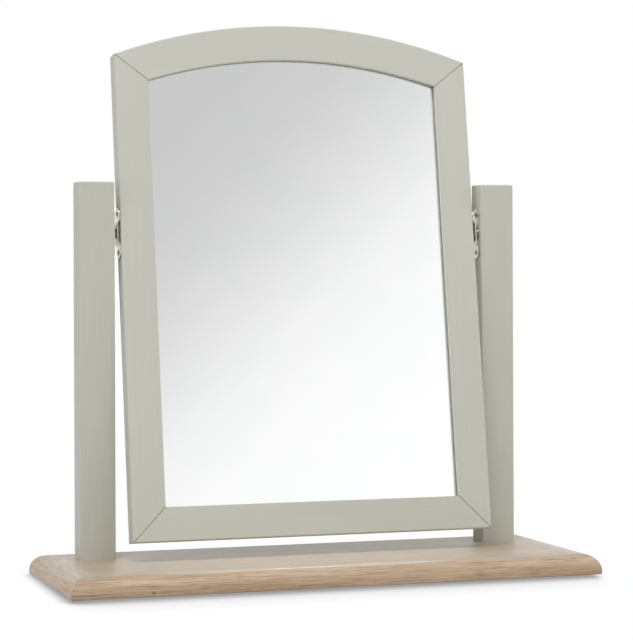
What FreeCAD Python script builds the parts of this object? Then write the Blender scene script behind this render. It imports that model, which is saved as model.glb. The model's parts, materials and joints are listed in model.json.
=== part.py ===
import FreeCAD, Part
import os
import Sketcher

# A dressing-table mirror: an arched, mitred frame that swings between two posts on a plinth.
# X runs to the viewer's right, Y away from the viewer and Z up. The origin is on the table,
# under the middle of the plinth. All lengths are in millimetres and angles in degrees.

SIZES = {
    # Plinth and the felt pads under it
    "base_overhang": 42,        # plinth beyond each post's outer face
    "base_depth": 225,
    "base_thick": 22,
    "base_round": 18,           # quarter round along the top edge
    "base_ease": 1,             # small chamfer along the bottom edge
    "pad_dia": 22,
    "pad_thick": 2,
    "pad_inset": 32,            # pad centre from the plinth's edges
    # Posts
    "post_width": 40,
    "post_depth": 30,
    "post_round": 1.5,
    "post_setback": 51,         # post centre behind the plinth's centre
    "post_above": 57,           # post above the pivot
    "post_dowel_dia": 8,
    "post_dowel_length": 30,
    "post_dowel_pitch": 22,
    "post_screw_dia": 5,
    "post_screw_head": 10,
    "post_screw_length": 60,
    "bore_dia": 13,             # counterbore for the head of a post screw
    "bore_depth": 6,
    # Mirror frame, measured from the pivot
    "mirror_width": 420,
    "mirror_drop": 342,         # pivot to lower edge
    "mirror_rise": 240,         # pivot to crown of the arch
    "mirror_thick": 21,
    "mirror_tilt": 8.6,         # how far it leans back
    "swing_gap": 17,            # room under the upright mirror
    "pivot_setback": 14,        # pivot behind the posts' front faces
    "arch_radius": 600,
    "arch_end": 12,             # stretch of each arc beside a mitre that is drawn apart
    "stile_width": 38,
    "bottom_width": 38,
    "top_width": 40,
    "frame_round": 1.5,         # outer arrises
    "sight_round": 0.7,         # arris round the opening
    "mitre_ease": 0.35,         # fine bevel that shows as a line at each mitre
    "mitre_dowel_dia": 6,
    "mitre_dowel_length": 22,
    "mitre_dowel_outer": 12,    # dowel centres along the mitre, across the stile
    "mitre_dowel_inner": 20.5,
    # Glass and what holds it
    "lip_width": 6,
    "lip_thick": 4.5,
    "glass_thick": 4,
    "glass_gap": 1,
    "panel_rebate": 14,
    "panel_thick": 4,
    "panel_recess": 0.5,
    "panel_gap": 0.6,
    "panel_edge": 0.4,          # panel left outside the heads of its screws
    "spacer_long": 30,
    "spacer_wide": 10,
    "panel_screw_dia": 3,
    "panel_screw_head": 6,
    "panel_screw_length": 14,
    "panel_screw_crown": 0.2,
    # Hinges
    "plate_length": 57,
    "plate_width": 18,
    "plate_thick": 1.4,
    "bridge_length": 21,
    "bridge_height": 4.1,
    "bridge_ramp": 4.5,
    "bend_round": 0.7,
    "dome_dia": 18,
    "dome_top": 12,
    "dome_height": 1.8,
    "dome_rim": 1,              # flat rim of the leaf round the dome
    "dome_round": 4,
    "rivet_dia": 5,
    "rivet_head": 9,
    "rivet_head_thick": 1,
    "washer_dia": 9,
    "washer_thick": 0.6,
    "spring_dia": 11,
    "spring_thick": 0.4,
    "spring_dish": 0.4,
    "plate_screw_dia": 3.8,
    "plate_screw_head": 7,
    "plate_screw_crown": 0.9,   # raised part of the head
    "plate_screw_length": 18,
    # Clearances
    "pin_fit": 0.05,            # radial, round a pin, dowel or screw
    "end_gap": 1,               # beyond the end of a dowel or screw
    "running_gap": 0.1,         # between faces that turn on each other
}

doc = FreeCAD.newDocument("tilting_mirror")
sheet = doc.addObject("Spreadsheet::Sheet", "sizes")
for row, (alias, size) in enumerate(SIZES.items(), 1):
    sheet.set(f"A{row}", alias)
    sheet.set(f"B{row}", str(size))
    sheet.setAlias(f"B{row}", alias)
doc.recompute()

# Places that follow from the sizes, as expressions on the sheet
DECK = "(sizes.pad_thick + sizes.base_thick)"
HALF = "(sizes.mirror_width / 2)"
HINGE_GAP = ("(sizes.bridge_height + sizes.running_gap + sizes.washer_thick"
             " + sizes.dome_height + sizes.plate_thick)")
POST_FACE = f"({HALF} + {HINGE_GAP})"
POST_X = f"({POST_FACE} + sizes.post_width / 2)"
BASE_X = f"({POST_FACE} + sizes.post_width + sizes.base_overhang)"
PIVOT_Y = "(sizes.post_setback - sizes.post_depth / 2 + sizes.pivot_setback)"
PIVOT_Z = f"({DECK} + sizes.swing_gap + sizes.mirror_drop)"
FRONT = "(-sizes.mirror_thick / 2)"
BACK = "(sizes.mirror_thick / 2)"
ARCH_CENTRE = "(sizes.mirror_rise - sizes.arch_radius)"
SIGHT_HALF = f"({HALF} - sizes.stile_width)"
SIGHT_BOTTOM = "(sizes.bottom_width - sizes.mirror_drop)"
SIGHT_RADIUS = "(sizes.arch_radius - sizes.top_width)"
RAMP_END = "(sizes.bridge_length / 2 + sizes.bridge_ramp)"
TAB_MIDDLE = f"((sizes.plate_length / 2 + {RAMP_END}) / 2)"

# Directions for holes and pins whose own axis is +Z
UP = "rotation(vector(0; 0; 1); 0)"
DOWN = "rotation(vector(1; 0; 0); 180)"
FORWARD = "rotation(vector(1; 0; 0); 90)"
OUTWARD = {1: "rotation(vector(0; 1; 0); 90)", -1: "rotation(vector(0; 1; 0); -90)"}
INWARD = {side: OUTWARD[-side] for side in OUTWARD}

AT_PIVOT = f"placement(vector(0; {PIVOT_Y}; {PIVOT_Z}); {UP})"
IN_MIRROR = (f"placement(vector(0; {PIVOT_Y}; {PIVOT_Z});"
             " rotation(vector(1; 0; 0); -sizes.mirror_tilt))")
SIDES = {"left": -1, "right": 1}

# Proportions of small turned and bent pieces, as shares of their own size
CROWN_SHARE = 0.3           # flat on top of a raised screw head, of the head
PAN_TOP_SHARE = 0.35        # top of a pan head, of the head
PAN_HEIGHT_SHARE = 0.7      # height of a pan head, of the screw
RIVET_TOP_SHARE = 0.6       # top of a rivet's head, of the head
RIVET_TAIL_SHARE = 0.9      # spread tail of a rivet, of the head
END_ROUND_SHARE = 0.48      # end radius of a hinge leaf, of its width
PANEL_SCREW_SHARES = (0.1, 0.5, 0.9)    # heights of the screws along each side
SPACER_SHARES = (0.25, 0.75)            # heights of the foam blocks along each side

nodes = []


def number(expression):
    """The value of an expression on the sheet."""
    return float(sheet.evalExpression(expression))


def arch_height(radius, across):
    """Height on an arc about the arch's centre, at a distance across from the middle."""
    return f"({ARCH_CENTRE} + sqrt(pow({radius}; 2) - pow({across}; 2)))"


def add_body(label, placement=None, is_node=True):
    """A new body. One that is a node of the part is written to its own file."""
    body = doc.addObject("PartDesign::Body", label)
    body.Label = label
    if placement:
        body.setExpression("Placement", placement)
    if is_node:
        nodes.append(body)
    return body


def group(label, pieces):
    """Like pieces that share one node."""
    compound = doc.addObject("Part::Compound", label)
    compound.Label = label
    compound.Links = pieces
    nodes.append(compound)
    return compound


def add_sketch(body, role, offset="0"):
    """A sketch on one of the body's own planes, moved along the plane's normal."""
    sketch = body.newObject("Sketcher::SketchObject", f"{body.Label}_sketch")
    plane = next(item for item in body.Origin.OriginFeatures if item.Role == role)
    sketch.AttachmentSupport = (plane, [""])
    sketch.MapMode = "FlatFace"
    sketch.setExpression("AttachmentOffset.Base.z", offset)
    return sketch


def bind(sketch, constraint, expression):
    """Add a constraint and tie its value to the sheet."""
    place = sketch.addConstraint(Sketcher.Constraint(*constraint, number(expression)))
    sketch.setExpression(f"Constraints[{place}]", expression)


def draw_outline(sketch, corners, arcs=None):
    """A closed outline. arcs gives the centre's height and the radius of each edge that is an arc.

    Neighbouring edges on the same circle share its centre.
    """
    arcs = arcs or {}
    count = len(corners)
    points = [FreeCAD.Vector(number(x), number(y), 0) for x, y in corners]
    ends = []
    for edge in range(count):
        first, last = points[edge], points[(edge + 1) % count]
        if edge not in arcs:
            line = sketch.addGeometry(Part.LineSegment(first, last), False)
            ends.append((line, 1, 2))
            continue
        centre_height, radius = arcs[edge]
        centre = FreeCAD.Vector(0, number(centre_height), 0)
        circle = Part.Circle(centre, FreeCAD.Vector(0, 0, 1), number(radius))
        turns_left = (first - centre).cross(last - centre).z > 0
        start, end = (first, last) if turns_left else (last, first)
        arc = Part.ArcOfCircle(circle, circle.parameter(start), circle.parameter(end))
        curve = sketch.addGeometry(arc, False)
        ends.append((curve, 1, 2) if turns_left else (curve, 2, 1))
        if arcs.get(edge - 1) == arcs[edge]:
            sketch.addConstraint(Sketcher.Constraint("Coincident", ends[edge - 1][0], 3, curve, 3))
            continue
        sketch.addConstraint(Sketcher.Constraint("PointOnObject", curve, 3, -2))
        bind(sketch, ("DistanceY", -1, 1, curve, 3), centre_height)
        bind(sketch, ("Radius", curve), radius)
    for edge, (x, y) in enumerate(corners):
        geometry, start, _ = ends[edge]
        before, _, end = ends[edge - 1]
        sketch.addConstraint(Sketcher.Constraint("Coincident", before, end, geometry, start))
        bind(sketch, ("DistanceX", -1, 1, geometry, start), x)
        if edge not in arcs and (edge - 1) % count not in arcs:
            bind(sketch, ("DistanceY", -1, 1, geometry, start), y)


def draw_rectangle(sketch, x, y, width, height):
    """A rectangle about a centre."""
    left, right = f"{x} - {width} / 2", f"{x} + {width} / 2"
    low, high = f"{y} - {height} / 2", f"{y} + {height} / 2"
    draw_outline(sketch, [(left, low), (right, low), (right, high), (left, high)])


def draw_arched(sketch, reach):
    """The shape of the opening in the frame, grown by reach all round."""
    half = f"({SIGHT_HALF} + {reach})"
    low = f"({SIGHT_BOTTOM} - {reach})"
    radius = f"({SIGHT_RADIUS} + {reach})"
    shoulder = arch_height(radius, half)
    corners = [(f"-{half}", low), (half, low), (half, shoulder), (f"-{half}", shoulder)]
    draw_outline(sketch, corners, {2: (ARCH_CENTRE, radius)})


def add_pad(body, sketch, length, backward=False, both_ways=False):
    """Extrude a sketch into the body."""
    pad = body.newObject("PartDesign::Pad", f"{body.Label}_pad")
    pad.Profile = sketch
    pad.setExpression("Length", length)
    pad.Reversed = backward
    pad.Midplane = both_ways
    pad.Refine = False
    doc.recompute()


def check_cut(body, volume_before):
    """Stop if a cut took nothing away."""
    if body.Shape.Volume > volume_before - 0.01:
        raise RuntimeError(f"{body.Label}: {body.Tip.Label} cuts nothing")


def add_pocket(body, sketch, depth):
    """Cut a sketch's shape out of the body, along the sketch's normal."""
    volume_before = body.Shape.Volume
    pocket = body.newObject("PartDesign::Pocket", f"{body.Label}_pocket")
    pocket.Profile = sketch
    pocket.setExpression("Length", depth)
    pocket.Reversed = True
    doc.recompute()
    check_cut(body, volume_before)


def add_revolution(body, corners, axis):
    """Turn an outline drawn on the XZ plane about the sketch's own H_Axis or V_Axis."""
    sketch = add_sketch(body, "XZ_Plane")
    draw_outline(sketch, corners)
    revolution = body.newObject("PartDesign::Revolution", f"{body.Label}_revolution")
    revolution.Profile = sketch
    revolution.ReferenceAxis = (sketch, [axis])
    revolution.Angle = 360
    doc.recompute()


def place(feature, x, y, z, rotation):
    """Tie a feature's place to the sheet."""
    feature.setExpression("Placement", f"placement(vector({x}; {y}; {z}); {rotation})")


def drill(body, x, y, z, rotation, diameter, depth):
    """A round hole from its mouth, in the direction of the rotation's axis."""
    volume_before = body.Shape.Volume
    hole = body.newObject("PartDesign::SubtractiveCylinder", f"{body.Label}_hole")
    hole.setExpression("Radius", f"{diameter} / 2 + sizes.pin_fit")
    hole.setExpression("Height", depth)
    place(hole, x, y, z, rotation)
    doc.recompute()
    check_cut(body, volume_before)


def countersink(body, x, y, z, rotation, head, shank, depth):
    """A hole for a flush screw: a cone as deep as the sheet that it goes through."""
    volume_before = body.Shape.Volume
    cone = body.newObject("PartDesign::SubtractiveCone", f"{body.Label}_countersink")
    cone.setExpression("Radius1", f"{head} / 2 + sizes.pin_fit")
    cone.setExpression("Radius2", f"{shank} / 2 + sizes.pin_fit")
    cone.setExpression("Height", depth)
    place(cone, x, y, z, rotation)
    doc.recompute()
    check_cut(body, volume_before)


def finish_edges(body, kind, size, wanted):
    """Fillet or chamfer every edge of the body that is wanted, judged by its two ends."""
    feature = body.newObject(f"PartDesign::{kind}", f"{body.Label}_{kind.lower()}")
    names = []
    for place_in_shape, edge in enumerate(body.Shape.Edges, 1):
        ends = [body.Placement.inverse().multVec(vertex.Point) for vertex in edge.Vertexes]
        if wanted(ends[0], ends[-1]):
            names.append(f"Edge{place_in_shape}")
    feature.Base = (feature.BaseFeature, names)
    feature.Refine = False
    feature.setExpression("Radius" if kind == "Fillet" else "Size", size)
    doc.recompute()


def same(first, second):
    """Whether two coordinates agree to within a thousandth."""
    return abs(first - second) < 0.001


def add_base_board():
    """Oak plinth, with holes for what holds the posts."""
    body = add_body("base_board")
    sketch = add_sketch(body, "XY_Plane", "sizes.pad_thick")
    draw_rectangle(sketch, "0", "0", f"2 * {BASE_X}", "sizes.base_depth")
    add_pad(body, sketch, "sizes.base_thick")
    top, bottom = number(DECK), number("sizes.pad_thick")
    finish_edges(body, "Fillet", "sizes.base_round", lambda a, b: same(a.z, top) and same(b.z, top))
    finish_edges(body, "Chamfer", "sizes.base_ease",
                 lambda a, b: same(a.z, bottom) and same(b.z, bottom))
    for side in SIDES.values():
        x = f"{side} * {POST_X}"
        drill(body, x, "sizes.post_setback", "sizes.pad_thick", UP, "sizes.bore_dia", "sizes.bore_depth")
        drill(body, x, "sizes.post_setback", "sizes.pad_thick", UP, "sizes.post_screw_dia",
              "sizes.base_thick")
        for dowel in post_dowel_places(side):
            drill(body, dowel, "sizes.post_setback", DECK, DOWN, "sizes.post_dowel_dia",
                  "sizes.post_dowel_length / 2 + sizes.end_gap")


def post_dowel_places(side):
    """Where the two dowels of a post stand, along X."""
    return [f"{side} * {POST_X} + {way} * sizes.post_dowel_pitch / 2" for way in (-1, 1)]


def add_post(name, side):
    """Painted post, with holes for its dowels, its long screw and the screws of its hinge leaf."""
    body = add_body(f"{name}_post")
    sketch = add_sketch(body, "XY_Plane", DECK)
    draw_rectangle(sketch, f"{side} * {POST_X}", "sizes.post_setback", "sizes.post_width",
                   "sizes.post_depth")
    add_pad(body, sketch, "sizes.swing_gap + sizes.mirror_drop + sizes.post_above")
    foot = number(DECK)
    finish_edges(body, "Fillet", "sizes.post_round",
                 lambda a, b: not (same(a.z, foot) and same(b.z, foot)))
    for dowel in post_dowel_places(side):
        drill(body, dowel, "sizes.post_setback", DECK, UP, "sizes.post_dowel_dia",
              "sizes.post_dowel_length / 2 + sizes.end_gap")
    drill(body, f"{side} * {POST_X}", "sizes.post_setback", DECK, UP, "sizes.post_screw_dia",
          "sizes.post_screw_length + sizes.bore_depth - sizes.base_thick + sizes.end_gap")
    for way in (-1, 1):
        drill(body, f"{side} * {POST_FACE}", PIVOT_Y, f"{PIVOT_Z} + {way} * {TAB_MIDDLE}",
              OUTWARD[side], "sizes.plate_screw_dia",
              "sizes.plate_screw_length - sizes.plate_thick + sizes.end_gap")


def add_pin(label, placement, diameter, length):
    """A plain dowel along its own Z axis."""
    pin = doc.addObject("Part::Cylinder", label)
    pin.setExpression("Radius", f"{diameter} / 2")
    pin.setExpression("Height", length)
    pin.setExpression("Placement", placement)
    return pin


def add_screw(label, placement, diameter, head, head_depth, crown, length):
    """A wood screw along its own Z axis: countersunk head at zero, point at its length."""
    body = add_body(label, placement, is_node=False)
    corners = [
        ("0", f"-{crown}"),
        (f"{head} * {CROWN_SHARE}", f"-{crown}"),
        (f"{head} / 2", "0"),
        (f"{diameter} / 2", head_depth),
        (f"{diameter} / 2", f"{length} - {diameter}"),
        ("0", length),
    ]
    add_revolution(body, corners, "V_Axis")
    return body


def add_post_fixings():
    """Dowels and long screws between plinth and posts."""
    dowels = []
    screws = []
    for name, side in SIDES.items():
        for x in post_dowel_places(side):
            low = f"{DECK} - sizes.post_dowel_length / 2"
            spot = f"placement(vector({x}; sizes.post_setback; {low}); {UP})"
            dowels.append(add_pin(f"{name}_post_dowel", spot, "sizes.post_dowel_dia",
                                  "sizes.post_dowel_length"))
        seat = "sizes.pad_thick + sizes.bore_depth"
        spot = f"placement(vector({side} * {POST_X}; sizes.post_setback; {seat}); {UP})"
        screws.append(add_long_screw(f"{name}_post_screw", spot))
    group("post_dowels", dowels)
    group("post_screws", screws)


def add_long_screw(label, placement):
    """Post screw with a flat washer head, which seats in the plinth's counterbore."""
    body = add_body(label, placement, is_node=False)
    head_height = f"sizes.post_screw_dia * {PAN_HEIGHT_SHARE}"
    corners = [
        ("0", f"-{head_height}"),
        (f"sizes.post_screw_head * {PAN_TOP_SHARE}", f"-{head_height}"),
        ("sizes.post_screw_head / 2", "0"),
        ("sizes.post_screw_dia / 2", "0"),
        ("sizes.post_screw_dia / 2", "sizes.post_screw_length - sizes.post_screw_dia"),
        ("0", "sizes.post_screw_length"),
    ]
    add_revolution(body, corners, "V_Axis")
    return body


def add_foot_pads():
    """Felt pads near the plinth's corners."""
    for depth_name, depth_way in (("front", -1), ("back", 1)):
        for name, side in SIDES.items():
            pad = doc.addObject("Part::Cylinder", f"foot_pad_{depth_name}_{name}")
            pad.Label = pad.Name
            pad.setExpression("Radius", "sizes.pad_dia / 2")
            pad.setExpression("Height", "sizes.pad_thick")
            place(pad, f"{side} * ({BASE_X} - sizes.pad_inset)",
                  f"{depth_way} * (sizes.base_depth / 2 - sizes.pad_inset)", "0", UP)
            nodes.append(pad)


def mitre(side, upper):
    """The outer and inner ends of a mitre, as pairs of expressions on the mirror's own plane."""
    outer_x, inner_x = f"({side} * {HALF})", f"({side} * {SIGHT_HALF})"
    if upper:
        return ((outer_x, arch_height("sizes.arch_radius", HALF)),
                (inner_x, arch_height(SIGHT_RADIUS, SIGHT_HALF)))
    return (outer_x, "(-sizes.mirror_drop)"), (inner_x, SIGHT_BOTTOM)


def mitre_pins(side, upper):
    """The middles and the turn about Y of the two dowels across a mitre."""
    (outer_x, outer_z), (inner_x, inner_z) = mitre(side, upper)
    turn = f"atan2({inner_z} - {outer_z}; {outer_x} - {inner_x})"
    pins = []
    for across in ("sizes.mitre_dowel_outer", "sizes.mitre_dowel_inner"):
        share = f"({across} / sizes.stile_width)"
        x = f"({outer_x} + ({inner_x} - {outer_x}) * {share})"
        z = f"({outer_z} + ({inner_z} - {outer_z}) * {share})"
        pins.append((x, z, turn))
    return pins


def pin_start(pin, length):
    """Where a dowel of a given length begins, and its rotation."""
    x, z, turn = pin
    start_x = f"{x} - {length} / 2 * sin({turn})"
    start_z = f"{z} - {length} / 2 * cos({turn})"
    return start_x, start_z, f"rotation(vector(0; 1; 0); {turn})"


def add_rail(label, corners, arcs, corner_keys, runs_long):
    """One member of the frame: mitred ends, rebates at the back, eased arrises and dowel holes."""
    body = add_body(label, IN_MIRROR)
    blank = add_sketch(body, "XZ_Plane", f"-{BACK}")
    draw_outline(blank, corners, arcs)
    add_pad(body, blank, "sizes.mirror_thick")
    front, back = number(FRONT), number(BACK)
    sight_half, sight_bottom = number(SIGHT_HALF), number(SIGHT_BOTTOM)
    sight_radius, arch_centre = number(SIGHT_RADIUS), number(ARCH_CENTRE)

    def on_face(a, b, height):
        return same(a.y, height) and same(b.y, height)

    def on_sight_edge(point):
        at_side = same(abs(point.x), sight_half)
        on_arch = same((point.x ** 2 + (point.z - arch_centre) ** 2) ** 0.5, sight_radius)
        return at_side or on_arch or same(point.z, sight_bottom)

    finish_edges(body, "Chamfer", "sizes.mitre_ease",
                 lambda a, b: on_face(a, b, front) and not runs_long(a, b))
    finish_edges(body, "Fillet", "sizes.frame_round",
                 lambda a, b: runs_long(a, b) and (on_face(a, b, front) or on_face(a, b, back))
                 and not (on_sight_edge(a) and on_sight_edge(b)))
    finish_edges(body, "Fillet", "sizes.sight_round",
                 lambda a, b: runs_long(a, b) and on_face(a, b, front)
                 and on_sight_edge(a) and on_sight_edge(b))
    glass_rebate = add_sketch(body, "XZ_Plane", f"-{BACK}")
    draw_arched(glass_rebate, "sizes.lip_width")
    add_pocket(body, glass_rebate, "sizes.mirror_thick - sizes.lip_thick")
    panel_rebate = add_sketch(body, "XZ_Plane", f"-{BACK}")
    draw_arched(panel_rebate, "sizes.panel_rebate")
    add_pocket(body, panel_rebate, "sizes.panel_thick + sizes.panel_recess")
    for key in corner_keys:
        for pin in mitre_pins(*key):
            length = "(sizes.mitre_dowel_length + 2 * sizes.end_gap)"
            x, z, rotation = pin_start(pin, length)
            drill(body, x, "0", z, rotation, "sizes.mitre_dowel_dia", length)
    return body


def add_top_rail():
    """The arched member. Each arc is drawn in three, so that the rounded ends at the mitres mesh closed."""
    centre = number(ARCH_CENTRE)

    def from_centre(point):
        return (point.x ** 2 + (point.z - centre) ** 2) ** 0.5

    (left_outer, left_inner), (right_outer, right_inner) = mitre(-1, True), mitre(1, True)
    inner_x, outer_x = f"({SIGHT_HALF} - sizes.arch_end)", f"({HALF} - sizes.arch_end)"
    inner_z = arch_height(SIGHT_RADIUS, inner_x)
    outer_z = arch_height("sizes.arch_radius", outer_x)
    corners = [
        left_inner, (f"-{inner_x}", inner_z), (inner_x, inner_z), right_inner,
        right_outer, (outer_x, outer_z), (f"-{outer_x}", outer_z), left_outer,
    ]
    arcs = {edge: (ARCH_CENTRE, SIGHT_RADIUS) for edge in (0, 1, 2)}
    arcs |= {edge: (ARCH_CENTRE, "sizes.arch_radius") for edge in (4, 5, 6)}
    return add_rail("top_rail", corners, arcs, [(-1, True), (1, True)],
                    lambda a, b: same(from_centre(a), from_centre(b)) and same(a.y, b.y))


def add_frame():
    """The four members of the frame and the dowels across their mitres."""
    members = {}
    for name, side in SIDES.items():
        (low_outer, low_inner), (top_outer, top_inner) = mitre(side, False), mitre(side, True)
        members[f"{name}_stile"] = add_rail(
            f"{name}_stile", [low_outer, top_outer, top_inner, low_inner], None,
            [(side, False), (side, True)], lambda a, b: same(a.x, b.x))
        for way in (-1, 1):
            drill(members[f"{name}_stile"], f"{side} * {HALF}", "0", f"{way} * {TAB_MIDDLE}",
                  INWARD[side], "sizes.plate_screw_dia",
                  "sizes.plate_screw_length - sizes.plate_thick + sizes.end_gap")
    (left_outer, left_inner), (right_outer, right_inner) = mitre(-1, False), mitre(1, False)
    members["bottom_rail"] = add_rail(
        "bottom_rail", [left_outer, right_outer, right_inner, left_inner], None,
        [(-1, False), (1, False)], lambda a, b: same(a.z, b.z))
    members["top_rail"] = add_top_rail()
    for x, z in panel_screw_places():
        owner = members[screw_owner(x, z)]
        drill(owner, x, f"{BACK} - sizes.panel_recess - sizes.panel_thick", z, FORWARD,
              "sizes.panel_screw_dia",
              "sizes.panel_screw_length - sizes.panel_thick + sizes.end_gap")
    dowels = []
    for side in SIDES.values():
        for upper in (False, True):
            for pin in mitre_pins(side, upper):
                x, z, rotation = pin_start(pin, "sizes.mitre_dowel_length")
                spot = f"{IN_MIRROR} * placement(vector({x}; 0; {z}); {rotation})"
                dowels.append(add_pin("mitre_dowel", spot, "sizes.mitre_dowel_dia",
                                      "sizes.mitre_dowel_length"))
    group("mitre_dowels", dowels)


def panel_screw_places():
    """Centres of the back panel's screws, on the middle of the ledge that it lies on."""
    reach = ("(sizes.panel_rebate - sizes.panel_gap - sizes.panel_edge"
             " - sizes.panel_screw_head / 2)")
    half = f"({SIGHT_HALF} + {reach})"
    low = f"({SIGHT_BOTTOM} - {reach})"
    radius = f"({SIGHT_RADIUS} + {reach})"
    places = []
    for side in SIDES.values():
        for share in PANEL_SCREW_SHARES:
            rise = f"({arch_height(radius, half)} - {low})"
            places.append((f"({side} * {half})", f"({low} + {rise} * {share})"))
        across = f"({half} / 2)"
        places.append((f"({side} * {across})", low))
        places.append((f"({side} * {across})", arch_height(radius, across)))
    return places


def screw_owner(x, z):
    """The member of the frame that a screw of the back panel goes into."""
    if abs(number(x)) > number(SIGHT_HALF):
        return "left_stile" if number(x) < 0 else "right_stile"
    return "bottom_rail" if number(z) < 0 else "top_rail"


def add_glazing():
    """Silvered glass, the foam blocks behind it and the screwed back panel."""
    glass = add_body("mirror_glass", IN_MIRROR)
    glass_back = f"({FRONT} + sizes.lip_thick + sizes.glass_thick)"
    sketch = add_sketch(glass, "XZ_Plane", f"-{glass_back}")
    draw_arched(sketch, "(sizes.lip_width - sizes.glass_gap)")
    add_pad(glass, sketch, "sizes.glass_thick")

    panel = add_body("back_panel", IN_MIRROR)
    panel_back = f"({BACK} - sizes.panel_recess)"
    sketch = add_sketch(panel, "XZ_Plane", f"-{panel_back}")
    draw_arched(sketch, "(sizes.panel_rebate - sizes.panel_gap)")
    add_pad(panel, sketch, "sizes.panel_thick")
    screws = []
    for x, z in panel_screw_places():
        countersink(panel, x, panel_back, z, FORWARD, "sizes.panel_screw_head",
                    "sizes.panel_screw_dia", "sizes.panel_thick")
        spot = f"{IN_MIRROR} * placement(vector({x}; {panel_back}; {z}); {FORWARD})"
        screws.append(add_screw("panel_screw", spot, "sizes.panel_screw_dia", "sizes.panel_screw_head",
                                "sizes.panel_thick", "sizes.panel_screw_crown",
                                "sizes.panel_screw_length"))
    group("back_panel_screws", screws)
    add_spacers(glass_back, f"({panel_back} - sizes.panel_thick)")


def add_spacers(near, far):
    """Foam blocks between the glass and the back panel, along the edge of the glass."""
    reach = "(sizes.lip_width - sizes.glass_gap)"
    half, low = f"({SIGHT_HALF} + {reach})", f"({SIGHT_BOTTOM} - {reach})"
    across = f"({half} / 2)"
    crown = arch_height(f"({SIGHT_RADIUS} + {reach})", f"({across} + sizes.spacer_long / 2)")
    shoulder = arch_height(f"({SIGHT_RADIUS} + {reach})", half)
    blocks = []
    for side in SIDES.values():
        for share in SPACER_SHARES:
            z = f"({low} + ({shoulder} - {low}) * {share})"
            blocks.append((f"{side} * ({half} - sizes.spacer_wide / 2)", z, "wide", "long"))
        blocks.append((f"{side} * {across}", f"({low} + sizes.spacer_wide / 2)", "long", "wide"))
        blocks.append((f"{side} * {across}", f"({crown} - sizes.spacer_wide / 2)", "long", "wide"))
    boxes = []
    for x, z, width, height in blocks:
        box = doc.addObject("Part::Box", "spacer")
        box.setExpression("Length", f"sizes.spacer_{width}")
        box.setExpression("Width", f"{far} - {near}")
        box.setExpression("Height", f"sizes.spacer_{height}")
        corner = (f"vector({x} - sizes.spacer_{width} / 2; {near}; {z} - sizes.spacer_{height} / 2)")
        box.setExpression("Placement", f"{IN_MIRROR} * placement({corner}; {UP})")
        boxes.append(box)
    group("glass_spacer_pads", boxes)


def round_plate_ends(body):
    """Round the four outer corners of a hinge leaf."""
    reach, half_width = number("sizes.plate_length / 2"), number("sizes.plate_width / 2")

    def at_corner(a, b):
        ends_out = same(abs(a.z), reach) and same(a.z, b.z)
        return ends_out and same(abs(a.y), half_width) and same(a.y, b.y) and not same(a.x, b.x)

    finish_edges(body, "Fillet", f"sizes.plate_width * {END_ROUND_SHARE}", at_corner)


def add_plate_screws(label, frame, x, rotation):
    """The two raised countersunk screws of a hinge leaf."""
    screws = []
    for way in (-1, 1):
        spot = f"placement(vector({x}; 0; {way} * {TAB_MIDDLE}); {rotation})"
        screws.append(add_screw("plate_screw", f"{frame} * {spot}", "sizes.plate_screw_dia",
                                "sizes.plate_screw_head", "sizes.plate_thick",
                                "sizes.plate_screw_crown", "sizes.plate_screw_length"))
    group(label, screws)


def add_frame_plate(name, side):
    """Hinge leaf on the frame's side: two screwed tabs and a raised bridge, bent from one strip."""
    body = add_body(f"{name}_frame_plate", IN_MIRROR)
    thick, raised = "sizes.plate_thick", "sizes.bridge_height"
    slope = f"atan2({raised} - {thick}; sizes.bridge_ramp)"
    shift = f"({thick} * tan({slope} / 2))"
    bridge_end = "sizes.bridge_length / 2"
    half_outline = [
        ("0", "sizes.plate_length / 2"),
        (thick, "sizes.plate_length / 2"),
        (thick, RAMP_END),
        (raised, bridge_end),
    ]
    half_inside = [
        (f"{raised} - {thick}", f"{bridge_end} - {shift}"),
        ("0", f"{RAMP_END} - {shift}"),
    ]
    upper = half_inside + half_outline
    lower = [(x, f"-({z})") for x, z in reversed(upper)]
    corners = [(f"{side} * ({HALF} + {x})", z) for x, z in upper + lower]
    sketch = add_sketch(body, "XZ_Plane")
    draw_outline(sketch, corners)
    add_pad(body, sketch, "sizes.plate_width", both_ways=True)
    tab_reach = number("sizes.plate_length / 2")
    finish_edges(body, "Fillet", "sizes.bend_round",
                 lambda a, b: same(a.x, b.x) and same(a.z, b.z) and not same(abs(a.z), tab_reach))
    round_plate_ends(body)
    drill(body, f"{side} * {HALF}", "0", "0", OUTWARD[side], "sizes.rivet_dia", "2 * sizes.bridge_height")
    face = f"{side} * ({HALF} + {thick})"
    for way in (-1, 1):
        countersink(body, face, "0", f"{way} * {TAB_MIDDLE}", INWARD[side],
                    "sizes.plate_screw_head", "sizes.plate_screw_dia", thick)
    add_plate_screws(f"{name}_frame_plate_screws", IN_MIRROR, face, INWARD[side])


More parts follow.
